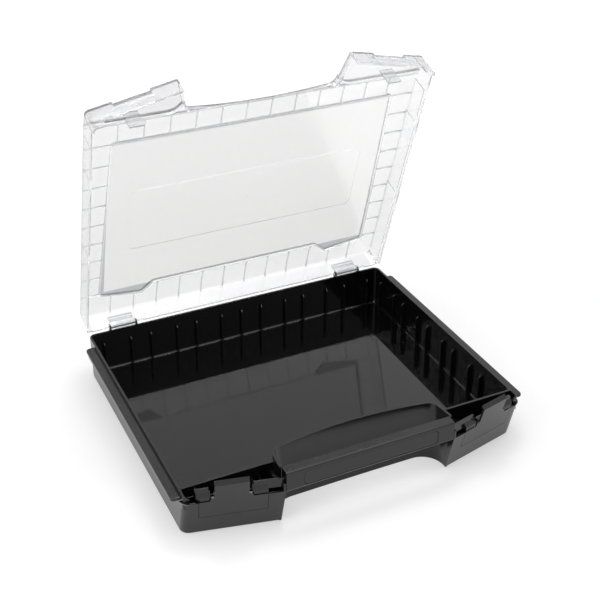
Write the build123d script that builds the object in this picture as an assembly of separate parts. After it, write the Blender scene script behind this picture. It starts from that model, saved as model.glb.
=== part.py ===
from build123d import *
import os
from math import atan, atan2, cos, degrees, hypot, radians, sin, tan

# Compartment storage box: a flat moulded case with a black tray, a clear hinged lid,
# a fixed carrying handle between two front lobes, and a rocking latch on each lobe.
# Millimetres. +X right, +Y to the hinges, +Z up. Origin: bottom centre of the tray.

# Overall
overall_width = 367.0
overall_depth = 316.0
closed_height = 72.0
lid_open_angle = 70.7

# Tray
rim_z = 48.5
wall = 2.2
floor_t = 2.4
rail_reach = 9.1
rail_t = 2.5
rail_below_rim = 3.5
rail_back_gap = 19.0
rail_past_wall = 8.0
rail_end_r = 4.1
rail_edge_r = 1.2
rail_lip = 1.5
corner_r = 7.0
front_corner_r = 9.0
inner_corner_r = 4.0
floor_edge_r = 3.0
bottom_edge_r = 1.6
front_wall_from_front = 36.5
fit_gap = 0.4
root = 0.5

# Dividing ribs on the tray walls
rib_pitch = 52.6
rib_pair_gap_x = 30.0
rib_pair_gap_y = 20.8
rib_first_x = 24.0
rib_from_back = 49.3
rib_end_gap = 12.0
rib_front_gap = 20.0
rib_w = 1.8
rib_reach = 4.0
rib_top_r = 3.4
rib_nose_r = 0.5
rib_below_rim = 11.5

# Front lobes
lobe_inner_x = 86.6
lobe_below_rim = 7.0
lobe_lean = 0.27
lobe_splay = 13.17
lobe_post_h = 8.5
lobe_rim_h = 5.0
guide_t = 1.8
guide_reach = 6.0
guide_inner_r = 1.3
guide_foot = 8.0
guide_web_behind = 0.5
guide_web_t = 1.0
guide_web_h = 2.5

# Finger recess behind the handle
recess_above_rim = 12.9
recess_reach = 43.4
recess_draft = 6.4
recess_arc_rise = 8.5
recess_low_rise = 0.6
recess_top_narrower = 3.1
recess_low_narrower = 0.2
recess_top_r = 10.0
recess_bottom_r = 22.0

# Handle
handle_end_gap = 0.4
handle_d = 10.5
handle_h = 20.8
handle_below_recess = 0.8
handle_wall = 2.6
handle_edge_r = 2.2
handle_rib_t = 2.0
handle_ribs = 4
tenon_d = 5.0
tenon_h = 6.0
tenon_up = 2.8
tenon_back = 2.0
tenon_reach = 0.4
label_from_end = 18.1
label_up = 2.4
label_h = 14.8
label_t = 1.2
label_chamfer = 2.4
label_edge = 0.25
label_gap = 0.25

# Latches, measured along the lobe's face from the latch's centre
latch_off_middle = 3.2
hook_half = 15.4
hook_t = 2.0
hook_h = 24.0
hook_front_drop = 2.5
hook_lip_t = 3.2
hook_lip_d = 4.2
hook_grooves = 3
hook_groove_w = 0.6
hook_groove_depth = 0.4
hook_groove_end = 1.2
flap_from_inner = 15.5
flap_from_outer = 12.5
flap_h = 20.3
flap_top_h = 0.6
flap_t = 1.6
flap_gap = 0.4
tab_foot = 4.2
tab_head = 2.6
tab_gap = 0.7
crease_h = 5.2
pivot_back = 4.4
pivot_h = 4.1
pivot_boss_r = 2.4
latch_pin_r = 1.1
latch_pin_past = 7.0
run_gap = 0.06
strip_gap = 0.3
strip_t = 2.0
strip_above_rim = 5.5
strip_thin_h = 3.5
strip_thin_from_inner = 15.4
strip_from_side = 10.3
strip_corner_r = 2.0
strip_notch_w = 3.7
strip_notch_h = 4.4
strip_rib_t = 1.8
strip_rib_above = 5.0
strip_rib_below = 4.0
gusset_d = 3.0
flap_swing_d = 12.0

# Hinges
hinge_from_wall = 2.7
hinge_above_rim = 1.8
barrel_r = 2.8
hinge_from_side = 39.2
hinge_half = 15.4
ear_t = 1.8
ear_r = 2.4
ear_h = 12.3
ear_gap = 0.3
hinge_pin_r = 1.2
hinge_web_h = 13.0
hinge_web_t = 2.0
hinge_slots = 5
hinge_slot_h = 2.2
hinge_slot_wall = 0.92
hinge_slot_depth = 1.6
hinge_slot_up = 8.5

# Lid
lid_wall = 2.0
lid_gap = 0.4
lid_face_back = 1.0
lid_skirt_above_rail = 1.0
lid_back_above_rim = 0.8
lid_front_above_rim = 1.9
lid_corner_above_lobe = 0.7
lid_corner_w = 12.3
lid_seat_above_rim = 1.1
lid_seat_step = 0.9
lid_seat_from_step = 11.5
lid_edge_r = 2.6
lid_back_r = 9.0
lid_front_r = 5.5
lid_tip_r = 2.5
lid_recess_lead = 0.2
lid_recess_rise = 5.2
lid_recess_narrower = 8.1
lid_recess_wider = 2.0
lid_recess_r = 10.0
lid_recess_clear = 0.6
lid_lip_h = 4.2
lobe_drop = 3.6
lobe_step_behind = 3.2
lobe_drop_inside = 7.1
lobe_drop_r = 18.0
cross_rib_behind = 3.0
cross_rib_t = 1.6
panel_drop = 2.6
panel_from_step = 28.5
panel_border_front = 28.3
panel_border_back = 21.3
panel_from_hinge = 39.0
panel_back_beside = 38.2
panel_jog_from_hinge = 26.0
panel_jog_beside = 25.2
panel_corner_from_hinge = 33.0
panel_edge_r = 5.0
lid_rib_pitch = 26.1
lid_rib_t = 1.1
lid_rib_root = 1.0
lid_rib_arch = 1.9
lid_rib_from_corner = 1.6
label_field_w = 256.0
label_field_d = 82.0
label_field_off = 5.0
label_field_r = 7.0
label_field_depth = 0.5
gate_r = 1.3
gate_h = 0.5
gate_off = 3.0
pad_w = 16.0
pad_t = 1.6
pad_above_rim = 2.5
pad_from_front = 101.2
pad_pitch = 102.0
tab_t = 1.6
tab_above_lobe = 4.5
tab_half = 7.2
tab_behind_face = 20.7
notch_play = 3.0
notch_wall = 1.2
groove_w = 0.9
groove_depth = 0.6
groove_inner = 28.4
groove_outer = 30.3

# Places that follow from the sizes above
front_y = -overall_depth / 2
handle_back_y = front_y + handle_d
hinge_y = overall_depth / 2 - barrel_r
hinge_z = rim_z + hinge_above_rim
tray_half = overall_width / 2 - rail_reach
hinge_centre_x = tray_half - hinge_from_side
tray_back = hinge_y - hinge_from_wall
front_wall_y = front_y + front_wall_from_front
front_wall_out = front_wall_y - wall
side_in = tray_half - wall
back_in = tray_back - wall
rail_top = rim_z - rail_below_rim
rail_front_y = front_wall_y - rail_past_wall
rib_top_z = rim_z - rib_below_rim
splay = radians(lobe_splay)
lean_across = lobe_lean * cos(splay)
lobe_top_z = rim_z - lobe_below_rim
lobe_start_x = lobe_inner_x + wall
recess_top_z = rim_z + recess_above_rim
recess_apex_y = front_y + recess_reach
handle_high_z = recess_top_z - handle_below_recess
handle_low_z = handle_high_z - handle_h
tenon_low_z = handle_low_z + tenon_up
tenon_back_y = handle_back_y - tenon_back
label_half = lobe_inner_x - label_from_end
label_low_z = handle_low_z + label_up
latch_centre_x = (lobe_inner_x + tray_half) / 2 + latch_off_middle
crease_z = lobe_top_z + crease_h
flap_low_z = lobe_top_z - flap_h
pivot_z = lobe_top_z + pivot_h
swing = atan(lean_across)
pivot_behind_plate = pivot_back * cos(swing) + pivot_h * sin(swing)
pivot_along_plate = pivot_h * cos(swing) - pivot_back * sin(swing)
plate_closed_y = pivot_back - pivot_behind_plate
plate_closed_z = pivot_z - pivot_along_plate
hook_closed_lip_z = plate_closed_z + hook_h - hook_lip_t
latch_pin_reach = hook_half + latch_pin_past
strip_top_z = rim_z + strip_above_rim
lid_half = tray_half + lid_gap + lid_wall
lid_top = closed_height
lid_under = lid_top - lid_wall
panel_top = lid_top - panel_drop
panel_under = panel_top - lid_wall
lobe_top = lid_top - lobe_drop
lobe_under = lobe_top - lid_wall
lid_front_z = rim_z + lid_front_above_rim
lid_back_z = rim_z + lid_back_above_rim
lid_skirt_z = rail_top + lid_skirt_above_rail
lid_corner_z = lobe_top_z + lid_corner_above_lobe
notch_half = hook_half + notch_play
notch_floor_z = hook_closed_lip_z - lid_gap
ledge_back = plate_closed_y + hook_t + lid_gap
notch_back = plate_closed_y + hook_lip_d + lid_gap
strip_back = lid_face_back + lid_wall + strip_gap
strip_in = notch_half + notch_wall + strip_gap
strip_low_z = plate_closed_z + flap_top_h + run_gap
strip_step_z = lid_front_z - lid_gap
tab_foot_side = hook_half + tab_foot + tab_gap
tab_head_side = hook_half + tab_head + tab_gap
lobe_step_y = front_wall_y + lobe_step_behind
cross_rib_y = lobe_step_y + cross_rib_behind
panel_front_y = lobe_step_y + panel_from_step
lid_recess_apex_y = recess_apex_y - lid_recess_lead
far = 400.0


def lobe_face_y(x):
    """Front plane of the upper lobe at a distance x from the middle."""
    return front_y + tan(splay) * (abs(x) - lobe_inner_x)


def along_face(x):
    """Distance from the latch's centre, measured along the face, of a distance from the middle."""
    return (x - latch_centre_x) / cos(splay)


latch_centre_y = lobe_face_y(latch_centre_x)
strip_tip_y = lobe_face_y(lobe_inner_x) + strip_back / cos(splay)
strip_thin_end = along_face(lobe_inner_x + strip_thin_from_inner)
strip_out = along_face(tray_half - strip_from_side)
flap_in = along_face(lobe_inner_x + flap_from_inner)
flap_out = along_face(tray_half - flap_from_outer)


def box(x0, x1, y0, y1, z0, z1):
    """Block between two corners."""
    low = (min(x0, x1), min(y0, y1), min(z0, z1))
    size = (abs(x1 - x0), abs(y1 - y0), abs(z1 - z0))
    return Pos(*low) * Box(*size, align=(Align.MIN, Align.MIN, Align.MIN))


def both_sides(shape):
    """The shape and its mirror image across the middle plane."""
    return shape + mirror(shape, about=Plane.YZ)


def lobe_frame():
    """Frame on the right lobe's upper face: X along the face outwards, Y into the box."""
    return Plane(origin=(latch_centre_x, latch_centre_y, 0), x_dir=(cos(splay), sin(splay), 0), z_dir=(0, 0, 1))


def on_lobe(shape):
    """Moves a shape from the right lobe's frame into the box's frame."""
    return shape.moved(lobe_frame().location)


def face_profile(back, z_low, z_high):
    """Points of the lobe's front profile, back from the face, as depth and height."""
    points = []
    if z_low < lobe_top_z:
        points.append((lean_across * (lobe_top_z - z_low) + back, z_low))
    points.append((back, max(z_low, lobe_top_z)))
    if z_high > lobe_top_z:
        points.append((back, z_high))
    return points


def in_front_of_lobe(back, z_low=-far):
    """Everything in front of the right lobe's face, set back by a depth."""
    profile = [(-far, z_low)] + face_profile(back, z_low, far) + [(-far, far)]
    sketch = Plane.YZ * make_face(Polyline(*profile, close=True))
    return on_lobe(extrude(sketch, far, both=True))


def body_block(inset, z_low, z_high):
    """Tray outline with its splayed, leaning lobe faces, set in from all sides."""
    half = tray_half - inset
    block = box(-half, half, front_y - wall, tray_back - inset, z_low, z_high)
    cutter = in_front_of_lobe(inset)
    block = block - cutter - mirror(cutter, about=Plane.YZ)
    back_edges = block.edges().filter_by(Axis.Z).group_by(Axis.Y)[-1]
    block = fillet(back_edges, corner_r - inset)
    front_edges = [e for e in block.edges() if abs(abs(e.center().X) - half) < root and e.center().Y < 0
                   and abs((e @ 0).X) == abs((e @ 1).X) and (e @ 0).Z != (e @ 1).Z
                   and abs((e @ 0).Z - (e @ 1).Z) > wall and abs((e @ 0).Y - (e @ 1).Y) < front_wall_from_front]
    return fillet(front_edges, front_corner_r - inset)


def lobe_rim():
    """Flange round the right lobe's top corner, as wide as the lid, tapering into the wall below."""
    inner = tray_half - 2 * front_corner_r
    points = [(inner, lobe_face_y(inner)), (lid_half, lobe_face_y(lid_half)), (lid_half, 0), (inner, 0)]
    face = make_face(Polyline(*points, close=True))
    corner = face.vertices().sort_by(Axis.X)[-2:].sort_by(Axis.Y)[0]
    face = Pos(0, 0, lobe_top_z) * fillet(corner, front_corner_r + lid_half - tray_half)
    slope = degrees(atan2(lid_half - tray_half, lobe_rim_h))
    rim = extrude(face, amount=lobe_rim_h, dir=(0, 0, -1), taper=slope)
    return rim & box(0, far, -far, rail_front_y, 0, closed_height)


def corner_guide():
    """Wall inside the lid's skirt round the right front corner, its top falling towards its tip."""
    back = lid_face_back + lid_wall + lid_gap
    inner_x = tray_half - guide_t
    tip_x = tray_half - guide_reach
    corner_y = lobe_face_y(tray_half) + back / cos(splay)
    inner_y = lobe_face_y(inner_x) + (back + guide_t) / cos(splay)
    tip_y = lobe_face_y(tip_x) + back / cos(splay)
    outline = [(tray_half, front_wall_out), (tray_half, corner_y), (tip_x, tip_y),
               (tip_x, tip_y + guide_t / cos(splay)), (inner_x, inner_y), (inner_x, front_wall_out)]
    face = make_face(Polyline(*outline, close=True))
    outer = [v for v in face.vertices() if hypot(v.X - tray_half, v.Y - corner_y) < root]
    face = fillet(outer, guide_t + guide_inner_r)
    inner = [v for v in face.vertices() if hypot(v.X - inner_x, v.Y - inner_y) < root]
    face = fillet(inner, guide_inner_r)
    low = lobe_top_z - guide_foot
    guide = extrude(Pos(0, 0, low) * face, rim_z - low)
    slope = [(inner_x, rim_z), (tip_x - guide_t, lobe_top_z + lid_corner_above_lobe), (tip_x - guide_t, far),
             (inner_x, far)]
    guide -= extrude(Plane.XZ * make_face(Polyline(*slope, close=True)), far, both=True)
    web_y = inner_y + guide_web_behind
    web = box(along_to_x(strip_out), inner_x + root, web_y, web_y + guide_web_t, low, lobe_top_z + guide_web_h)
    return guide + web


def along_to_x(along, depth=0.0):
    """Distance from the middle of a place along the right lobe's face, at a depth behind it."""
    return latch_centre_x + along * cos(splay) - depth * sin(splay)


def recess_face(z, grow, side_x, apex, rise, radius):
    """Plan of the finger recess at a height, grown by a wall."""
    side = lobe_inner_x + grow
    tip = (side_x + grow, apex - rise + grow)
    edges = [
        Line((-side, -far), (side, -far)),
        Line((side, -far), (side, handle_back_y)),
        Line((side, handle_back_y), tip),
        ThreePointArc(tip, (0, apex + grow), (-tip[0], tip[1])),
        Line((-tip[0], tip[1]), (-side, handle_back_y)),
        Line((-side, handle_back_y), (-side, -far)),
    ]
    face = make_face(edges)
    corners = face.vertices().group_by(Axis.Y)[-1]
    return Pos(0, 0, z) * fillet(corners, radius + grow)


def recess_block(grow):
    """Finger recess as a drafted block: straight at the floor, arched at its rim."""
    low = recess_face(-root, grow, lobe_inner_x - recess_low_narrower, recess_apex_y - recess_draft,
                      recess_low_rise, recess_bottom_r)
    high = recess_face(recess_top_z, grow, lobe_inner_x - recess_top_narrower, recess_apex_y,
                       recess_arc_rise, recess_top_r)
    return loft([low, high], ruled=True)


def wall_rib(x, y, turn):
    """Upright fin on a tray wall, its top corner rounded, its root at the wall, facing along the turned Y."""
    fin = box(-rib_w / 2, rib_w / 2, -rib_reach, wall / 2, floor_t - root, rib_top_z)
    corner = fin.edges().filter_by(Axis.X).group_by(Axis.Z)[-1].sort_by(Axis.Y)[0]
    fin = fillet(corner, rib_top_r)
    nose = [e for e in fin.edges() if abs(e.center().X) > rib_w / 4 and e.center().Y < -rib_reach / 2
            and e.center().Z > floor_t]
    return Pos(x, y, 0) * Rot(0, 0, turn) * fillet(nose, rib_nose_r)


def rib_places(first, gap, low, high):
    """Places of a row of ribs in pairs, kept between two limits."""
    count = int((high - low) / rib_pitch) + 2
    places = [first + i * rib_pitch + shift for i in range(-1, count) for shift in (0, gap)]
    return [place for place in places if low < place < high]


def wall_ribs():
    """Rows of dividing ribs, in pairs, on the back, front and side walls."""
    ribs = [wall_rib(0, back_in, 0)]
    for x in rib_places(rib_first_x, rib_pair_gap_x, rib_end_gap, side_in - rib_end_gap):
        for signed in (x, -x):
            ribs.append(wall_rib(signed, back_in, 0))
            if x > lobe_start_x + rib_w:
                ribs.append(wall_rib(signed, front_wall_y, 180))
    first = tray_back - rib_from_back
    low = first - back_in + rib_end_gap
    for down in rib_places(0, rib_pair_gap_y, low, first - front_wall_y - rib_front_gap):
        ribs += [wall_rib(side_in, first - down, -90), wall_rib(-side_in, first - down, 90)]
    return ribs


def rail():
    """Carrying rail along one side, rounded outside, with a small lip turned down at its edge."""
    back = tray_back - rail_back_gap
    outer = tray_half + rail_reach
    slab = box(tray_half - root, outer, rail_front_y, back, rail_top - rail_t, rail_top)
    slab = fillet(slab.edges().filter_by(Axis.Z).sort_by(Axis.X)[-2:], rail_end_r)
    slab = fillet(slab.edges().group_by(Axis.Z)[-1].filter_by(Axis.Y).sort_by(Axis.X)[-1], rail_edge_r)
    lip = box(outer - rail_lip, outer, rail_front_y + rail_reach, back - rail_reach,
              rail_top - rail_t - rail_lip, rail_top - rail_t + root)
    return slab + lip


def hinge_ears():
    """Two ears of one hinge, standing off the back wall on a low bracket, with the pin's holes."""
    low = hinge_z - ear_h
    back = hinge_y + ear_r
    shape = box(hinge_centre_x - hinge_half, hinge_centre_x + hinge_half, tray_back - root, back, low, low + wall)
    for side in (-1, 1):
        outer = hinge_centre_x + side * hinge_half
        inner = outer - side * ear_t
        shape += Pos((outer + inner) / 2, hinge_y, hinge_z) * Rot(0, 90, 0) * Cylinder(ear_r, ear_t)
        shape += box(inner, outer, tray_back - root, back, low, hinge_z)
    return shape - Pos(hinge_centre_x, hinge_y, hinge_z) * Rot(0, 90, 0) * Cylinder(hinge_pin_r, 3 * hinge_half)


def latch_strips():
    """Strips beside the hook that stand behind the lid's front wall and carry the latch's pin."""
    inner_end = along_face(lobe_inner_x + wall / 2)
    top, back = strip_top_z, strip_back + strip_t
    outer = box(strip_in, strip_out, strip_back, back, lobe_top_z, top)
    corner = outer.edges().filter_by(Axis.Y).group_by(Axis.Z)[-1].sort_by(Axis.X)[-1]
    outer = fillet(corner, min(strip_corner_r, (strip_out - strip_in) / 2))
    shape = outer + box(strip_thin_end, -strip_in, strip_back, back, lobe_top_z, top)
    shape += box(inner_end, strip_thin_end, strip_back, back, lobe_top_z + strip_thin_h, top)
    shape += strip_fronts()
    for a, b in ((-latch_pin_reach, -tab_head_side), (tab_head_side, latch_pin_reach)):
        shape += Pos((a + b) / 2, pivot_back, pivot_z) * Rot(0, 90, 0) * Cylinder(pivot_boss_r, b - a)
    return on_lobe(shape)


def strip_fronts():
    """Lower fronts of the strips, flush with the flap below them and following the tab's slanted sides."""
    top, back = strip_step_z, strip_back + strip_t
    notch_x, notch_z = strip_out - strip_notch_w, strip_low_z + strip_notch_h
    outer = [(tab_foot_side, strip_low_z), (notch_x, strip_low_z), (strip_out, notch_z), (strip_out, top),
             (tab_head_side, top), (tab_head_side, crease_z)]
    inner = [(-tab_foot_side, strip_low_z), (strip_thin_end, strip_low_z), (strip_thin_end, top),
             (-tab_head_side, top), (-tab_head_side, crease_z)]
    plates = [extrude(Plane.XZ * make_face(Polyline(*outline, close=True)), -back) for outline in (outer, inner)]
    slope = [(0, 0), (0, crease_z), (strip_back, top), (back, top), (back, 0)]
    return (plates[0] + plates[1]) & extrude(Plane.YZ * make_face(Polyline(*slope, close=True)), far, both=True)


def strip_rib(x, top_behind):
    """Upright rib along the depth behind a strip, clear of the flap's swing below the lobe's top."""
    start = strip_back + strip_t / 2
    high = lobe_top_z + strip_rib_above
    knee = strip_back + strip_t + gusset_d
    clear = strip_back + flap_swing_d
    outline = [(start, lobe_top_z), (start, high), (knee, high), (knee + gusset_d, top_behind),
               (far, top_behind), (far, floor_t - root), (clear, floor_t - root),
               (clear, lobe_top_z - flap_swing_d), (knee, lobe_top_z)]
    sketch = Plane.YZ * make_face(Polyline(*outline, close=True))
    return on_lobe(Pos(x, 0, 0) * extrude(sketch, strip_rib_t))


def strip_ribs():
    """Upright ribs that tie the strips back to the tray's front wall."""
    low_top = lobe_top_z - strip_rib_below
    ribs = strip_rib(strip_thin_end + strip_rib_t, low_top)
    ribs += strip_rib(-strip_in - 2 * strip_rib_t, low_top)
    ribs += strip_rib(strip_out - strip_rib_t, lobe_top_z + strip_rib_above)
    return ribs & box(0, tray_half, front_y, front_wall_y - wall / 2, 0, closed_height)


def latch_pin():
    """Steel pin that the right latch rocks on, pressed into the strips' lugs."""
    return on_lobe(Pos(0, pivot_back, pivot_z) * Rot(0, 90, 0) * Cylinder(latch_pin_r, 2 * latch_pin_reach))


def flap_slot():
    """Opening in the lobe's face that the latch's flap fills, with its gap all round."""
    slot = box(flap_in - flap_gap, flap_out + flap_gap, -front_wall_from_front, flap_swing_d + wall,
               flap_low_z - flap_gap, closed_height)
    return on_lobe(slot) & box(0, far, -far, front_wall_out - fit_gap, 0, closed_height)


def tenon_hole():
    """Hole in the right lobe's inner side that takes the handle's tenon."""
    return box(lobe_inner_x - root, lobe_start_x + 2 * tenon_reach, tenon_back_y - tenon_d, tenon_back_y,
               tenon_low_z, tenon_low_z + tenon_h)


def base_shell():
    """Black tray with lobes, finger recess, rails, ribs, strips and hinge ears, moulded in one."""
    shell = body_block(0, 0, rim_z)
    shell = fillet(shell.edges().group_by(Axis.Z)[0], bottom_edge_r)
    shell += both_sides(lobe_rim())
    cavity = box(-side_in, side_in, front_wall_y, back_in, floor_t, closed_height)
    cavity = fillet(cavity.edges().filter_by(Axis.Z), inner_corner_r)
    cavity = fillet(cavity.edges().group_by(Axis.Z)[0], floor_edge_r)
    pocket = body_block(wall, floor_t, closed_height)
    pocket &= box(lobe_start_x, far, -far, front_wall_out, 0, closed_height)
    outer_recess = recess_block(wall)
    pocket -= outer_recess
    shell -= cavity - outer_recess
    shell -= both_sides(pocket)
    shell -= box(-far, far, -far, front_wall_out - fit_gap, lobe_top_z, closed_height)
    post = box(-far, far, front_y - wall, handle_back_y, 0, lobe_top_z + lobe_post_h)
    behind = box(-far, far, handle_back_y, 0, 0, recess_top_z)
    inner_recess = recess_block(0)
    cutter = in_front_of_lobe(0)
    shell += (outer_recess & (post + behind)) - inner_recess - cutter - mirror(cutter, about=Plane.YZ)
    shell -= inner_recess
    shell -= both_sides(flap_slot())
    shell += both_sides(latch_strips() + strip_ribs() - latch_pin())
    shell += both_sides(corner_guide())
    shell += both_sides(rail())
    shell += both_sides(hinge_ears())
    for rib in wall_ribs():
        shell += rib
    return shell - both_sides(tenon_hole())


def handle_bar():
    """Fixed carrying bar, a channel open to the back, with ribs inside and a tenon at each end."""
    half = lobe_inner_x - handle_end_gap
    low, high = handle_low_z, handle_high_z
    bar = box(-half, half, front_y, handle_back_y, low, high)
    bar = fillet(bar.edges().filter_by(Axis.X).group_by(Axis.Y)[0], handle_edge_r)
    bar -= box(-half + handle_wall, half - handle_wall, front_y + handle_wall, far,
               low + handle_wall, high - handle_wall)
    step = 2 * half / (handle_ribs + 1)
    for i in range(1, handle_ribs + 1):
        x = -half + i * step
        bar += box(x - handle_rib_t / 2, x + handle_rib_t / 2, front_y + handle_wall / 2,
                   handle_back_y - handle_wall / 2, low + handle_wall / 2, high - handle_wall / 2)
    tenon = box(half - root, lobe_start_x + tenon_reach, tenon_back_y - tenon_d + fit_gap / 2,
                tenon_back_y - fit_gap / 2, tenon_low_z, tenon_low_z + tenon_h - fit_gap / 2)
    bar += both_sides(tenon)
    return bar - label_outline(label_gap, wall)


def label_outline(grow, in_front):
    """Label plate's block, with cut corners, grown by a gap, reaching in front of the handle."""
    middle = label_low_z + label_h / 2
    size = (2 * (label_half + grow), label_h + 2 * grow)
    plate = Plane.XZ * (Pos(0, middle) * chamfer(Rectangle(*size).vertices(), label_chamfer))
    return Pos(0, front_y - in_front, 0) * extrude(plate, -label_t - in_front)


def label_plate():
    """Thin bare plate let into the handle's face."""
    plate = label_outline(0, 0)
    return chamfer(plate.faces().sort_by(Axis.Y)[0].edges(), label_edge)


def on_plate(shape):
    """Moves a shape from the latch plate's frame, its foot line at the lobe's top, into the lobe's lean."""
    return on_lobe(Pos(0, 0, lobe_top_z) * Rot(degrees(swing), 0, 0) * shape)


def latch():
    """Rocking latch of the right lobe, tipped open: flap, tab and ridged hook in one plate, and pin barrel."""
    pivot = Pos(0, pivot_behind_plate, pivot_along_plate) * Rot(0, 90, 0)
    solid = box(flap_in, flap_out, 0, flap_t, -flap_h / cos(swing), flap_top_h)
    foot, head = hook_half + tab_foot, hook_half + tab_head
    tab = [(-foot, 0), (-foot, flap_top_h), (-head, crease_h), (head, crease_h), (foot, flap_top_h), (foot, 0)]
    solid += extrude(Plane.XZ * make_face(Polyline(*tab, close=True)), -flap_t)
    hook = [(0, 0), (0, hook_h - hook_front_drop), (hook_lip_d, hook_h), (hook_lip_d, hook_h - hook_lip_t),
            (hook_t, hook_h - hook_lip_t), (hook_t, 0)]
    solid += extrude(Plane.YZ * make_face(Polyline(*hook, close=True)), hook_half, both=True)
    slope = atan2(hook_front_drop, hook_lip_d)
    step = hypot(hook_front_drop, hook_lip_d) / (hook_grooves + 1)
    for i in range(1, hook_grooves + 1):
        place = Pos(0, i * step * cos(slope), hook_h - hook_front_drop + i * step * sin(slope))
        groove = Box(2 * (hook_half - hook_groove_end), hook_groove_w, 2 * hook_groove_depth)
        solid -= place * Rot(degrees(slope), 0, 0) * groove
    solid += pivot * Cylinder(pivot_boss_r, 2 * hook_half)
    solid += box(-hook_half, hook_half, hook_t / 2, pivot_behind_plate, pivot_along_plate - pivot_boss_r,
                 pivot_along_plate + pivot_boss_r)
    solid -= pivot * Cylinder(latch_pin_r + run_gap, 4 * hook_half)
    return on_plate(solid)


def hinge_pin():
    """Steel pin of the right hinge, pressed into the ears."""
    return Pos(hinge_centre_x, hinge_y, hinge_z) * Rot(0, 90, 0) * Cylinder(hinge_pin_r, 2 * hinge_half)


def lid_recess(grow, z_low, z_high):
    """Lid's handle cut-out, an arch with slanted sides, grown by a wall."""
    side_x = lobe_inner_x - lid_recess_narrower
    tip_x = lobe_inner_x + lid_recess_wider
    tip_y = lobe_face_y(tip_x) + lid_face_back
    side_y = lid_recess_apex_y - lid_recess_rise
    flare = (tip_x - side_x) / (side_y - tip_y)
    low_x, low_y = tip_x + flare * handle_d, tip_y - handle_d
    tip = (side_x + grow, side_y + grow)
    edges = [
        Line((-low_x - grow, low_y), (low_x + grow, low_y)),
        Line((low_x + grow, low_y), tip),
        ThreePointArc(tip, (0, lid_recess_apex_y + grow), (-tip[0], tip[1])),
        Line((-tip[0], tip[1]), (-low_x - grow, low_y)),
    ]
    face = make_face(edges)
    face = fillet(face.vertices().group_by(Axis.Y)[-1], lid_recess_r + grow)
    return extrude(Pos(0, 0, z_low) * face, z_high - z_low)


def lid_block(inset, z_low, z_high):
    """Lid's plan outline with its splayed lobe faces and handle cut-out, set in from all sides."""
    half = lid_half - inset
    block = box(-half, half, front_y - lid_wall, hinge_y - inset, z_low, z_high)
    cutter = in_front_of_lobe(lid_face_back + inset, lobe_top_z + 0.001)
    block = block - cutter - mirror(cutter, about=Plane.YZ)
    uprights = block.edges().filter_by(Axis.Z)
    block = fillet(uprights.group_by(Axis.Y)[-1], lid_back_r - inset)
    outer = [e for e in block.edges().filter_by(Axis.Z)
             if abs(e.center().X) > half - root and e.center().Y < 0]
    block = fillet(outer, lid_front_r - inset)
    block -= lid_recess(inset, z_low - root, z_high + root)
    if inset:
        return block
    tips = block.edges().filter_by(Axis.Z).group_by(Axis.Y)[0]
    return fillet(tips, lid_tip_r)


def lobe_drop_block(z_low, grow):
    """Lowered area over the right lobe, rounded beside the handle cut-out, grown by a wall."""
    x0 = lobe_inner_x - lobe_drop_inside - grow
    y1 = lobe_step_y + grow
    face = make_face(Polyline((x0, -far), (x0, y1), (far, y1), (far, -far), close=True))
    corner = face.vertices().group_by(Axis.Y)[-1].sort_by(Axis.X)[0]
    return extrude(Pos(0, 0, z_low) * fillet(corner, lobe_drop_r + grow), far)


def panel_block(z_low, z_high, grow):
    """Sunken middle panel of the lid, with its steps beside the hinges."""
    points = [
        (lid_half - panel_border_front + grow, panel_front_y - grow),
        (lid_half - panel_border_back + grow, hinge_y - panel_corner_from_hinge),
        (hinge_centre_x - panel_jog_beside, hinge_y - panel_jog_from_hinge + grow),
        (hinge_centre_x - panel_back_beside, hinge_y - panel_from_hinge + grow),
    ]
    points += [(-x, y) for x, y in reversed(points)]
    face = make_face(Polyline(*points, close=True))
    face = fillet(face.vertices(), panel_edge_r)
    return extrude(Pos(0, 0, z_low) * face, z_high - z_low)


def arch_rib(length):
    """Thin rib along +X from a wall to the panel's edge, its lower edge arched."""
    low, high = panel_under, lid_under + root
    outline = [
        Line((0, high), (length, high)), Line((length, high), (length, low)),
        ThreePointArc((length, low), (length / 2, low + lid_rib_arch), (0, low)), Line((0, low), (0, high)),
    ]
    return extrude(Plane.XZ * make_face(outline), lid_rib_t / 2, both=True)


def lid_ribs():
    """Ribs round the lid's raised border, from the walls and the cross rib to the sunken panel."""
    wall_x = lid_half - lid_wall + root
    wall_y = hinge_y - lid_wall + root
    side_front = lid_half - panel_border_front
    side_back = lid_half - panel_border_back
    corner_y = hinge_y - panel_corner_from_hinge
    first_y = corner_y - lid_rib_from_corner
    cross = box(-wall_x, wall_x, cross_rib_y, cross_rib_y + cross_rib_t, panel_under, lid_under + root)
    ribs = [cross]
    for i in range(int((first_y - panel_front_y) / lid_rib_pitch) + 1):
        y = first_y - i * lid_rib_pitch
        share = (corner_y - y) / (corner_y - panel_front_y)
        length = wall_x - (side_back + (side_front - side_back) * share) + lid_rib_root
        ribs += [Pos(wall_x, y, 0) * Rot(0, 0, 180) * arch_rib(length), Pos(-wall_x, y, 0) * arch_rib(length)]
    columns = int(2 * side_front / lid_rib_pitch) + 1
    for i in range(columns):
        x = (i - (columns - 1) / 2) * lid_rib_pitch
        middle = abs(x) < hinge_centre_x - panel_back_beside
        reach = panel_from_hinge if middle else (panel_jog_from_hinge + panel_corner_from_hinge) / 2
        ribs.append(Pos(x, wall_y, 0) * Rot(0, 0, -90) * arch_rib(reach - lid_wall + root + lid_rib_root))
        length = panel_front_y - cross_rib_y - cross_rib_t / 2 + lid_rib_root
        ribs.append(Pos(x, cross_rib_y + cross_rib_t / 2, 0) * Rot(0, 0, 90) * arch_rib(length))
    return ribs


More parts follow.
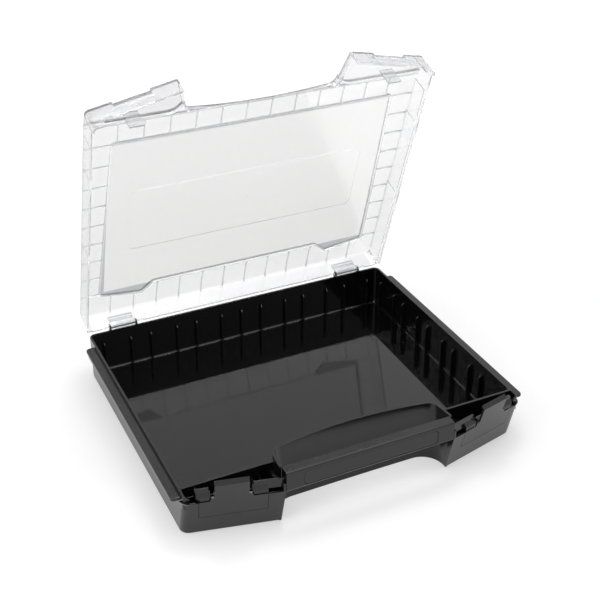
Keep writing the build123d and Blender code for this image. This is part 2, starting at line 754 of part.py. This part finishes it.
def lid_notch():
    """Space cut from the right lobe's face for the hook, leaving the ledge that it grips."""
    front = box(-notch_half, notch_half, -wall, ledge_back, 0, closed_height + root)
    over = box(-notch_half, notch_half, -wall, notch_back, notch_floor_z, closed_height + root)
    return on_lobe(front + over)


def lid_notch_skin():
    """Ledge, walls and floor round the notch inside the right lobe."""
    side = notch_half + notch_wall
    skin = lid_face_back + lid_wall / 4
    high = lobe_top - lid_wall / 4
    ledge = box(-side, side, skin, ledge_back + lid_wall, lid_front_z, high)
    upper = box(-side, side, skin, notch_back + lid_wall, notch_floor_z - lid_wall, high)
    return on_lobe(ledge + upper)


def lid_grooves():
    """Two shallow upright grooves beside the notch on the right lobe's face."""
    grooves = [box(x - groove_w / 2, x + groove_w / 2, -wall, lid_face_back + groove_depth, lid_front_z,
                   closed_height) for x in (-groove_inner, groove_outer)]
    return on_lobe(grooves[0] + grooves[1])


def lid_inner_pieces():
    """Seat step, spring pads and tab inside the right half of the lid."""
    face = lid_half - lid_wall
    high = lid_under + root
    shape = box(face - lid_seat_step, face + root, lobe_step_y + lid_seat_from_step, hinge_y - lid_wall,
                rim_z + lid_seat_above_rim, high)
    for y in (front_y + pad_from_front, front_y + pad_from_front + pad_pitch):
        shape += box(face - pad_t, face + root, y - pad_w / 2, y + pad_w / 2, rim_z + pad_above_rim, high)
    tab_y = latch_centre_y + tab_behind_face
    return shape + box(latch_centre_x - tab_half, latch_centre_x + tab_half, tab_y - tab_t, tab_y,
                       lobe_top_z + tab_above_lobe, lobe_top - root)


def lid_hinge_block():
    """Barrel and slotted web of the right hinge on the lid's back wall."""
    half = hinge_half - ear_t - ear_gap
    barrel = Pos(hinge_centre_x, hinge_y, hinge_z) * Rot(0, 90, 0) * Cylinder(barrel_r, 2 * half)
    back = hinge_y + hinge_web_t
    shape = barrel + box(hinge_centre_x - half, hinge_centre_x + half, hinge_y - root, back,
                         hinge_z, hinge_z + hinge_web_h)
    step = 2 * half / hinge_slots
    slot_half = (step - hinge_slot_wall) / 2
    middle = hinge_z + hinge_slot_up
    for i in range(hinge_slots):
        x = hinge_centre_x - half + (i + 0.5) * step
        shape -= box(x - slot_half, x + slot_half, back - hinge_slot_depth, back + root,
                     middle - hinge_slot_h / 2, middle + hinge_slot_h / 2)
    return shape


def ear_slots():
    """Slots in the lid's back wall round the ears of the right hinge."""
    slots = []
    for side in (-1, 1):
        end = hinge_centre_x + side * (hinge_half - ear_t / 2)
        reach = ear_t / 2 + ear_gap
        slots.append(box(end - reach, end + reach, tray_back, hinge_y + barrel_r + root,
                         hinge_z - barrel_r - root, hinge_z + ear_r + 3 * ear_gap))
    return slots[0] + slots[1]


def lid_shell():
    """Clear lid in its closed place: skirt, raised border, sunken panel, lobes, ribs and hinge blocks."""
    outer = lid_block(0, lid_corner_z, lid_top)
    outer -= both_sides(lobe_drop_block(lobe_top, 0))
    top_edges = outer.faces().group_by(Axis.Z)[-1].edges()
    outer = fillet([e for e in top_edges if e.center().Y > cross_rib_y], lid_edge_r)
    outer -= panel_block(panel_top, lid_top + root, 0)
    inner = lid_block(lid_wall, lid_corner_z - root, lid_under)
    inner -= both_sides(lobe_drop_block(lobe_top - lid_wall, lid_wall))
    inner -= panel_block(panel_under, lid_top, lid_wall)
    shell = outer - inner
    low = lid_corner_z - root
    corner_x = lid_half - lid_corner_w
    shell -= box(-far, far, rail_front_y - lid_gap, far, low, lid_skirt_z)
    shell -= box(-far, far, hinge_y - 2 * lid_wall, far, low, lid_back_z)
    shell -= box(-corner_x, corner_x, -far, rail_front_y, low, lid_front_z)
    reach = lobe_start_x + lid_wall
    shell -= box(-reach, reach, strip_tip_y - lid_gap, panel_front_y, low, recess_top_z + lid_recess_clear)
    side_x = lobe_inner_x - lid_recess_narrower
    shell -= box(-side_x, side_x, lid_recess_apex_y - lid_recess_rise, panel_front_y, low, lid_top - lid_lip_h)
    shell += both_sides(lid_notch_skin()) & lid_block(0, lid_corner_z, lobe_top)
    shell -= both_sides(lid_notch() + lid_grooves())
    bound = lid_block(lid_wall / 2, lid_corner_z, lid_under + root)
    for rib in lid_ribs():
        shell += rib & bound
    shell += both_sides(lid_inner_pieces())
    label_y = (panel_front_y + hinge_y - panel_from_hinge) / 2 + label_field_off
    field = Pos(0, label_y) * fillet(Rectangle(label_field_w, label_field_d).vertices(), label_field_r)
    shell -= extrude(Pos(0, 0, panel_top - label_field_depth) * field, lid_wall)
    shell += Pos(0, label_y - gate_off, panel_under) * Cylinder(gate_r, 2 * gate_h)
    shell += both_sides(lid_hinge_block())
    bore = Pos(hinge_centre_x, hinge_y, hinge_z) * Rot(0, 90, 0) * Cylinder(hinge_pin_r + run_gap, 3 * hinge_half)
    return shell - both_sides(bore + ear_slots())


def opened(shape):
    """Lid turned about the hinge axis to its resting angle."""
    return shape.rotate(Axis((0, hinge_y, hinge_z), (1, 0, 0)), -lid_open_angle)


def write(shape, name):
    """Writes one piece and prints its volume."""
    export_step(shape, f"parts/{name}.step")
    print(name, len(shape.solids()), "solid,", round(shape.volume / 1000, 2), "cm3")


os.makedirs("parts", exist_ok=True)
write(base_shell(), "base_shell")
write(opened(lid_shell()), "lid_shell")
write(handle_bar(), "handle_bar")
write(label_plate(), "label_plate")
for name, piece in (("latch", latch()), ("latch_pin", latch_pin()), ("hinge_pin", hinge_pin())):
    write(piece, f"{name}_right")
    write(mirror(piece, about=Plane.YZ), f"{name}_left")
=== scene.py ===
from math import cos, radians, sin
import bpy
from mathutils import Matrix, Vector

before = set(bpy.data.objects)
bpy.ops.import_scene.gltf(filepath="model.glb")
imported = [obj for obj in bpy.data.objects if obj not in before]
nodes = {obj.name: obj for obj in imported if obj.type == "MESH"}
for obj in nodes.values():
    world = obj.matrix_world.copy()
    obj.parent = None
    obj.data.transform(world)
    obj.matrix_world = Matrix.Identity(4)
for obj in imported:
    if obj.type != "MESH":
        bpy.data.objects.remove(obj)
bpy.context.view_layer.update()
print("frame loaded:", len(nodes), "nodes")

# The photograph's camera, found from the tray's and the lid's corners.
cameraSetup = {
    "place": (-0.42138, -0.88935, 0.71787),  # metres
    "turn": 25.451,                          # degrees to the right of +Y
    "tilt": 27.427,                          # degrees down
    "focal": 1165.49,                        # pixels
    "centreDown": 230.0,                     # pixel row of the lens axis
    "frameSize": 600,                        # pixels, width and height
    "sensor": 36.0,                          # millimetres
    "nearest": 0.05,                         # metres
}


def addCamera(setup):
    # Lens: the focal length as a share of the frame, times the sensor.
    # Shift: the lens axis's distance from the frame's middle, as a share of the frame.
    size = setup["frameSize"]
    data = bpy.data.cameras.new("camera")
    data.sensor_width = setup["sensor"]
    data.lens = setup["focal"] / size * setup["sensor"]
    data.shift_y = (setup["centreDown"] - size / 2) / size
    data.clip_start = setup["nearest"]
    camera = bpy.data.objects.new("camera", data)
    camera.location = setup["place"]
    camera.rotation_euler = (radians(90 - setup["tilt"]), 0.0, radians(-setup["turn"]))
    bpy.context.scene.collection.objects.link(camera)
    bpy.context.scene.camera = camera


addCamera(cameraSetup)
print("camera placed")


def addNode(tree, kind, **settings):
    # A new shader node with its settings.
    node = tree.nodes.new(kind)
    for key, value in settings.items():
        setattr(node, key, value)
    return node


def connect(tree, source, socket):
    # A socket takes either a link or a fixed value.
    if isinstance(source, bpy.types.NodeSocket):
        tree.links.new(source, socket)
    else:
        socket.default_value = source


def maths(tree, operation, first, second=None):
    # One step of arithmetic on one or two values.
    node = addNode(tree, "ShaderNodeMath", operation=operation)
    connect(tree, first, node.inputs[0])
    if second is not None:
        connect(tree, second, node.inputs[1])
    return node.outputs[0]


def vectorMaths(tree, operation, first, second=None):
    # The same for vectors, axis by axis.
    node = addNode(tree, "ShaderNodeVectorMath", operation=operation)
    connect(tree, first, node.inputs[0])
    if second is not None:
        connect(tree, second, node.inputs[1])
    return node.outputs[0]


def remap(tree, value, fromLow, fromHigh, toLow, toHigh):
    # Straight line between two pairs of values, held at its ends.
    node = addNode(tree, "ShaderNodeMapRange")
    for name, entry in (("Value", value), ("From Min", fromLow), ("From Max", fromHigh),
                        ("To Min", toLow), ("To Max", toHigh)):
        connect(tree, entry, node.inputs[name])
    return node.outputs["Result"]


def blendColours(tree, share, first, second):
    # The first colour at share 0, the second at share 1.
    node = addNode(tree, "ShaderNodeMix", data_type="RGBA")
    connect(tree, share, node.inputs[0])
    connect(tree, first, node.inputs[6])
    connect(tree, second, node.inputs[7])
    return node.outputs[2]


def noise(tree, vector, scale, detail):
    # Cloudy values round one half, with scale clouds to the metre.
    node = addNode(tree, "ShaderNodeTexNoise")
    connect(tree, vector, node.inputs["Vector"])
    connect(tree, scale, node.inputs["Scale"])
    node.inputs["Detail"].default_value = detail
    return node.outputs["Fac"]


def newGroup(name, inputs, outputs):
    # An empty node group with its named sockets.
    tree = bpy.data.node_groups.new(name, "ShaderNodeTree")
    for label, kind in inputs:
        tree.interface.new_socket(name=label, in_out="INPUT", socket_type="NodeSocket" + kind)
    for label, kind in outputs:
        tree.interface.new_socket(name=label, in_out="OUTPUT", socket_type="NodeSocket" + kind)
    return tree, tree.nodes.new("NodeGroupInput").outputs, tree.nodes.new("NodeGroupOutput").inputs


grainSetup = {
    "skinDetail": 2.0,
    "cloudScale": 18.0,         # clouds to the metre
    "cloudDetail": 4.0,
    "glossSpan": (0.35, 0.65),  # cloud values of the smoothest and the dullest skin
}


def grainGroup(setup):
    # Fine noise is the skin's height, slow noise runs the gloss between two values and clouds the colour.
    tree, given, out = newGroup(
        "mouldedGrain",
        [("Vector", "Vector"), ("Grain Scale", "Float"), ("Smooth", "Float"), ("Dull", "Float")],
        [("Height", "Float"), ("Roughness", "Float"), ("Cloud", "Float")])
    skin = noise(tree, given["Vector"], given["Grain Scale"], setup["skinDetail"])
    cloud = noise(tree, given["Vector"], setup["cloudScale"], setup["cloudDetail"])
    gloss = remap(tree, cloud, *setup["glossSpan"], given["Smooth"], given["Dull"])
    for value, name in ((skin, "Height"), (gloss, "Roughness"), (cloud, "Cloud")):
        tree.links.new(value, out[name])
    return tree


def regionGroup():
    # 1 inside a box and 0 outside: the largest of the distances past its faces, softened over an edge.
    tree, given, out = newGroup(
        "region", [("Vector", "Vector"), ("Centre", "Vector"), ("Half", "Vector"), ("Edge", "Float")],
        [("Mask", "Float")])
    away = vectorMaths(tree, "ABSOLUTE", vectorMaths(tree, "SUBTRACT", given["Vector"], given["Centre"]))
    past = vectorMaths(tree, "SUBTRACT", away, given["Half"])
    split = addNode(tree, "ShaderNodeSeparateXYZ")
    tree.links.new(past, split.inputs[0])
    most = maths(tree, "MAXIMUM", split.outputs[0], split.outputs[1])
    most = maths(tree, "MAXIMUM", most, split.outputs[2])
    tree.links.new(remap(tree, most, 0.0, given["Edge"], 1.0, 0.0), out["Mask"])
    return tree


mouldedGrain = grainGroup(grainSetup)
region = regionGroup()


def placeGroup(tree, group, **values):
    # A group in a material, with this material's own values.
    node = addNode(tree, "ShaderNodeGroup", node_tree=group)
    for name, value in values.items():
        connect(tree, value, node.inputs[name.replace("_", " ")])
    return node.outputs


def insideBox(tree, vector, low, high, edge=0.0004):
    # The region group from two corners: its centre is their mean and its half size half their difference.
    centre = [(a + b) / 2 for a, b in zip(low, high)]
    half = [(b - a) / 2 for a, b in zip(low, high)]
    return placeGroup(tree, region, Vector=vector, Centre=centre, Half=half, Edge=edge)["Mask"]


def newMaterial(name):
    # A material, its node tree and its shader's sockets.
    material = bpy.data.materials.new(name)
    material.use_nodes = True
    tree = material.node_tree
    return material, tree, tree.nodes["Principled BSDF"].inputs


def objectPlace(tree):
    # The place on the piece in metres.
    return addNode(tree, "ShaderNodeTexCoord").outputs["Object"]


def addBump(tree, height, distance, strength, shader):
    # Tilts the surface by the slope of a height, whose full range is the distance in metres.
    bump = addNode(tree, "ShaderNodeBump")
    bump.inputs["Strength"].default_value = strength
    bump.inputs["Distance"].default_value = distance
    connect(tree, height, bump.inputs["Height"])
    connect(tree, bump.outputs["Normal"], shader["Normal"])


print("shared groups built")

plasticIor = 1.5
wearSpan = (0.4, 0.7)  # cloud values at which wear begins and is full

# Tray: polished inside, finely grained outside, with painted shade darkening the inside's colour.
trayLook = {
    # painted shade: the hollow of the tray is given a darker colour than the outside
    "inside": (0.0026, 0.0026, 0.0029, 1),
    "outside": (0.0062, 0.0060, 0.0058, 1),
    "worn": (0.009, 0.009, 0.0095, 1),
    "wearMost": 0.35,
    "insideGloss": (0.03, 0.06),
    "outsideGloss": (0.15, 0.23),
    "insideLow": (-0.1721, -0.1214, 0.0012),
    "insideHigh": (0.1721, 0.1502, 0.0478),
    "grainScale": 1600.0,
    "insideScale": 400.0,
    "grainDepth": 0.00003,
    "insideDepthShare": 0.12,  # of the outer grain's depth
    "grainStrength": 0.4,
}


def trayPlastic(name, look):
    # Two grains, one for the polished inside and one for the outside, which alone gets the wear's colour;
    # the inside's darker colour is painted shade of the tray's hollow.
    material, tree, shader = newMaterial(name)
    place = objectPlace(tree)
    inside = insideBox(tree, place, look["insideLow"], look["insideHigh"])
    outer = placeGroup(tree, mouldedGrain, Vector=place, Grain_Scale=look["grainScale"],
                       Smooth=look["outsideGloss"][0], Dull=look["outsideGloss"][1])
    inner = placeGroup(tree, mouldedGrain, Vector=place, Grain_Scale=look["insideScale"],
                       Smooth=look["insideGloss"][0], Dull=look["insideGloss"][1])
    # painted shade: the colour goes darker inside the tray's hollow
    colour = blendColours(tree, inside, look["outside"], look["inside"])
    wear = remap(tree, outer["Cloud"], *wearSpan, 0.0, look["wearMost"])
    faded = blendColours(tree, wear, colour, look["worn"])
    connect(tree, blendColours(tree, inside, faded, colour), shader["Base Color"])
    roughness = remap(tree, inside, 0.0, 1.0, outer["Roughness"], inner["Roughness"])
    connect(tree, roughness, shader["Roughness"])
    innerHeight = maths(tree, "MULTIPLY", inner["Height"], look["insideDepthShare"])
    height = remap(tree, inside, 0.0, 1.0, outer["Height"], innerHeight)
    addBump(tree, height, look["grainDepth"], look["grainStrength"], shader)
    shader["IOR"].default_value = plasticIor
    return material


# Handle, latches and label plate: satin black with a little wear on the cloud noise.
satinLook = {
    "handle": {
        "colour": (0.0045, 0.0045, 0.0048, 1), "worn": (0.009, 0.009, 0.0095, 1),
        "gloss": (0.09, 0.17), "grainScale": 1500.0, "grainDepth": 0.00002,
    },
    "latch": {
        "colour": (0.0070, 0.0070, 0.0073, 1), "worn": (0.013, 0.013, 0.014, 1),
        "gloss": (0.22, 0.32), "grainScale": 2200.0, "grainDepth": 0.00005,
    },
    "plate": {
        "colour": (0.0050, 0.0050, 0.0052, 1), "worn": (0.009, 0.009, 0.0095, 1),
        "gloss": (0.18, 0.26), "grainScale": 2600.0, "grainDepth": 0.00004,
    },
}
satinWearMost = 0.6
satinStrength = 0.5


def satinPlastic(name, look):
    # The colour goes to the worn one, and the gloss from smooth to dull, with the cloud noise.
    material, tree, shader = newMaterial(name)
    grain = placeGroup(tree, mouldedGrain, Vector=objectPlace(tree), Grain_Scale=look["grainScale"],
                       Smooth=look["gloss"][0], Dull=look["gloss"][1])
    wear = remap(tree, grain["Cloud"], *wearSpan, 0.0, satinWearMost)
    connect(tree, blendColours(tree, wear, look["colour"], look["worn"]), shader["Base Color"])
    connect(tree, grain["Roughness"], shader["Roughness"])
    addBump(tree, grain["Height"], look["grainDepth"], satinStrength, shader)
    shader["IOR"].default_value = plasticIor
    return material


# Lid: water-clear rim and ribs, the ribs painted grey as shade, and a grained panel. All places are those
# of the closed lid.
lidLook = {
    "clear": (0.925, 0.926, 0.930, 1),
    "grained": (0.897, 0.896, 0.893, 1),
    "grainShade": (0.868, 0.867, 0.865, 1),
    # painted shade: the clear ribs' dark look from light bent through them, given as grey
    "rib": (0.50, 0.505, 0.52, 1),
    "hingeBlock": (0.56, 0.59, 0.63, 1),
    "skirt": (0.885, 0.885, 0.90, 1),
    "clearRoughness": 0.03,
    "panelRoughness": 0.13,
    "roughnessSpread": (0.85, 1.15),        # share of the panel's, smoothest and dullest
    "grainScale": 620.0,
    "grainDepth": 0.00004,
    "grainStrength": 0.4,
    "spotSpan": (0.42, 0.62),               # grain heights at which the shade begins and is full
    "hinge": (0.0, 0.1552, 0.0503),
    "open": 70.7,                           # degrees
    "panelLow": (-0.1520, -0.0885, 0.0668),
    "panelHigh": (0.1520, 0.1165, 0.0697),
    "ribLow": (-0.1738, -0.1225, 0.0668),
    "ribHigh": (0.1738, 0.1524, 0.0694),
    "bodyLow": (-0.1742, -0.1230, 0.0540),
    "bodyHigh": (0.1742, 0.1528, 0.0800),
    "bodyEdge": 0.0008,
    "blockLow": (0.1217, 0.1548, 0.0470),   # right-hand block, the left one mirrors it
    "blockHigh": (0.1487, 0.1600, 0.0640),
    "alpha": 0.86,
}


def closedPlace(tree, look):
    # The place turned back about the hinge to the closed lid: a turn about the origin,
    # then the shift from where that turn takes the hinge to where the hinge is.
    turn = radians(look["open"])
    y, z = look["hinge"][1:]
    turnedY = y * cos(turn) - z * sin(turn)
    turnedZ = y * sin(turn) + z * cos(turn)
    back = addNode(tree, "ShaderNodeMapping")
    back.inputs["Rotation"].default_value = (turn, 0, 0)
    back.inputs["Location"].default_value = (0, y - turnedY, z - turnedZ)
    connect(tree, objectPlace(tree), back.inputs["Vector"])
    return back.outputs["Vector"]


def lidPlastic(name, look):
    # Colours by region, each over the one before: skirt, body, ribs (grey, painted shade), hinge blocks,
    # panel.
    # Only the panel is rough and grained.
    material, tree, shader = newMaterial(name)
    closed = closedPlace(tree, look)
    panel = insideBox(tree, closed, look["panelLow"], look["panelHigh"])
    ribs = insideBox(tree, closed, look["ribLow"], look["ribHigh"])
    body = insideBox(tree, closed, look["bodyLow"], look["bodyHigh"], look["bodyEdge"])
    blocks = insideBox(tree, vectorMaths(tree, "ABSOLUTE", closed), look["blockLow"], look["blockHigh"])
    smooth, dull = [look["panelRoughness"] * share for share in look["roughnessSpread"]]
    grain = placeGroup(tree, mouldedGrain, Vector=closed, Grain_Scale=look["grainScale"],
                       Smooth=smooth, Dull=dull)
    spots = remap(tree, grain["Height"], *look["spotSpan"], 0.0, 1.0)
    grained = blendColours(tree, spots, look["grained"], look["grainShade"])
    colour = blendColours(tree, body, look["skirt"], look["clear"])
    # the ribs' grey over the clear body is painted shade
    for mask, over in ((ribs, look["rib"]), (blocks, look["hingeBlock"]), (panel, grained)):
        colour = blendColours(tree, mask, colour, over)
    connect(tree, colour, shader["Base Color"])
    roughness = remap(tree, panel, 0.0, 1.0, look["clearRoughness"], grain["Roughness"])
    connect(tree, roughness, shader["Roughness"])
    height = maths(tree, "MULTIPLY", panel, grain["Height"])
    addBump(tree, height, look["grainDepth"], look["grainStrength"], shader)
    shader["Transmission Weight"].default_value = 1.0
    shader["IOR"].default_value = plasticIor
    shader["Alpha"].default_value = look["alpha"]
    return material


# Pins: drawn steel in the hinges, blackened steel in the latches.
pinLook = {
    "hinge": {"steel": (0.50, 0.51, 0.53, 1), "dark": (0.36, 0.37, 0.39, 1), "gloss": (0.2, 0.34)},
    "latch": {"steel": (0.020, 0.020, 0.022, 1), "dark": (0.010, 0.010, 0.011, 1), "gloss": (0.3, 0.45)},
}
pinGrain = {
    "streaks": 900.0,      # to the metre, across the pin
    "lengthShare": 0.02,   # of that number along the pin
    "depth": 0.00001,
    "strength": 0.4,
}


def drawnSteel(name, look, streak):
    # The grain's X is squeezed, so that its noise runs in streaks along the pin.
    material, tree, shader = newMaterial(name)
    along = addNode(tree, "ShaderNodeMapping")
    along.inputs["Scale"].default_value = (streak["lengthShare"], 1.0, 1.0)
    connect(tree, objectPlace(tree), along.inputs["Vector"])
    grain = placeGroup(tree, mouldedGrain, Vector=along.outputs["Vector"], Grain_Scale=streak["streaks"],
                       Smooth=look["gloss"][0], Dull=look["gloss"][1])
    connect(tree, blendColours(tree, grain["Height"], look["steel"], look["dark"]), shader["Base Color"])
    connect(tree, grain["Roughness"], shader["Roughness"])
    addBump(tree, grain["Height"], streak["depth"], streak["strength"], shader)
    shader["Metallic"].default_value = 1.0
    return material


trayBlack = trayPlastic("trayBlack", trayLook)
handleBlack = satinPlastic("handleBlack", satinLook["handle"])
latchBlack = satinPlastic("latchBlack", satinLook["latch"])
plateBlack = satinPlastic("plateBlack", satinLook["plate"])
lidClear = lidPlastic("lidClear", lidLook)
hingeSteel = drawnSteel("hingeSteel", pinLook["hinge"], pinGrain)
latchSteel = drawnSteel("latchSteel", pinLook["latch"], pinGrain)

finishes = {
    "base_shell": trayBlack, "handle_bar": handleBlack, "label_plate": plateBlack,
    "latch_left": latchBlack, "latch_right": latchBlack, "lid_shell": lidClear,
    "latch_pin_left": latchSteel, "latch_pin_right": latchSteel,
    "hinge_pin_left": hingeSteel, "hinge_pin_right": hingeSteel,
}
for nodeName, finish in finishes.items():
    target = nodes[nodeName]
    if not target.material_slots:
        target.data.materials.append(finish)
    for slot in target.material_slots:
        slot.material = finish
print("finishes set")

studio = {
    "floorHalf": 3.0,
    "floorDown": 0.0002,           # clear of the tray's underside
    "floorColour": (0.66, 0.66, 0.66, 1),
    "floorRoughness": 0.9,
    "floorShown": (0.44, 0.90),    # own light, beside the object and far from it
    "floorFade": (0.45, 1.8),      # metres from the middle, where each begins
    "skyGrey": 0.50,
    "lamps": (
        # name, place, aim, size, watts
        ("overhead", (0.1, 0.0, 1.6), (0.0, 0.0, 0.0), 1.5, 9.0),
        ("left", (-1.6, -0.2, 0.9), (0.0, 0.0, 0.1), 1.3, 8.0),
        ("window", (0.25, 0.55, 1.9), (0.0, 0.0, 0.0), 0.45, 3.6),
    ),
}


def shownShare(tree):
    # 1 for rays from the camera, from a reflection or through glass, 0 for the rest.
    seen = addNode(tree, "ShaderNodeLightPath").outputs
    either = maths(tree, "MAXIMUM", seen["Is Camera Ray"], seen["Is Glossy Ray"])
    return maths(tree, "MAXIMUM", either, seen["Is Transmission Ray"])


def addFloor(setup):
    # A square that glows, where it is seen, by its distance from the middle, and keeps the shadow.
    half = setup["floorHalf"]
    mesh = bpy.data.meshes.new("floor")
    corners = [(-half, -half, 0), (half, -half, 0), (half, half, 0), (-half, half, 0)]
    mesh.from_pydata(corners, [], [(0, 1, 2, 3)])
    floor = bpy.data.objects.new("floor", mesh)
    floor.location.z = -setup["floorDown"]
    bpy.context.scene.collection.objects.link(floor)
    material, tree, shader = newMaterial("paleFloor")
    shader["Base Color"].default_value = setup["floorColour"]
    shader["Roughness"].default_value = setup["floorRoughness"]
    shader["Specular IOR Level"].default_value = 0.0
    shader["Emission Color"].default_value = (1, 1, 1, 1)
    far = addNode(tree, "ShaderNodeVectorMath", operation="LENGTH")
    connect(tree, objectPlace(tree), far.inputs[0])
    shown = remap(tree, far.outputs["Value"], *setup["floorFade"], *setup["floorShown"])
    connect(tree, maths(tree, "MULTIPLY", shownShare(tree), shown), shader["Emission Strength"])
    mesh.materials.append(material)


def addWorld(setup):
    # White where it is seen, grey as a light on the object.
    world = bpy.data.worlds.new("studio")
    world.use_nodes = True
    bpy.context.scene.world = world
    tree = world.node_tree
    back = tree.nodes["Background"].inputs
    back["Color"].default_value = (1, 1, 1, 1)
    connect(tree, remap(tree, shownShare(tree), 0.0, 1.0, setup["skyGrey"], 1.0), back["Strength"])


def addLamps(setup):
    # Square lamps, each turned to face its aim.
    for name, place, aim, size, watts in setup["lamps"]:
        data = bpy.data.lights.new(name, "AREA")
        data.size = size
        data.energy = watts
        lamp = bpy.data.objects.new(name, data)
        lamp.location = place
        lamp.rotation_euler = (Vector(aim) - Vector(place)).to_track_quat("-Z", "Y").to_euler()
        bpy.context.scene.collection.objects.link(lamp)


addFloor(studio)
addWorld(studio)
addLamps(studio)
bpy.context.scene.view_settings.view_transform = "Standard"
print("studio lit")
